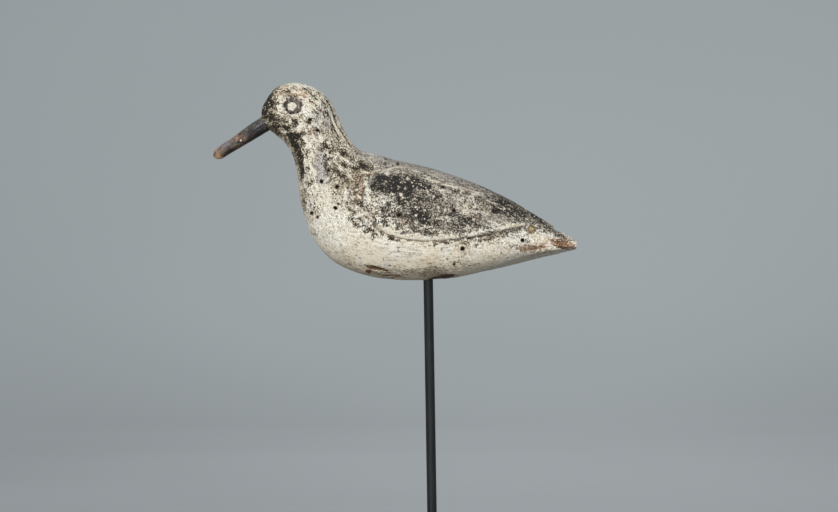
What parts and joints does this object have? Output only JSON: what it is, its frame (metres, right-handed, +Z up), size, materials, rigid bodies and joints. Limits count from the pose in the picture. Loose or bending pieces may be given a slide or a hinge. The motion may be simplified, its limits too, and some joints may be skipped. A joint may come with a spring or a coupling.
{
  "type": "shorebird decoy",
  "caption": "Carved wooden shorebird decoy with low-relief wings and a set-in drooping bill, in worn black and white paint, held up by a round black rod in a flat round foot.",
  "frame": {"origin": "on the rod's axis at the underside of the foot", "axes": "+Z up the rod; the bird faces -X, with its tail towards +X; +Y is across the bird"},
  "size_m": [0.2389, 0.115, 0.3426],
  "materials": {
    "bird_paint": "carved wood under old flat paint: white below, black and grey above, rubbed and flecked, bare brown at the tail",
    "bill_paint": "whittled wood in dark paint, rubbed to brown at the tip",
    "stand_black": "flat black steel"
  },
  "bodies": {
    "root": {"bird_body": "bird_paint", "bill": "bill_paint", "stand_rod": "stand_black", "stand_foot": "stand_black"}
  },
  "joints": []
}
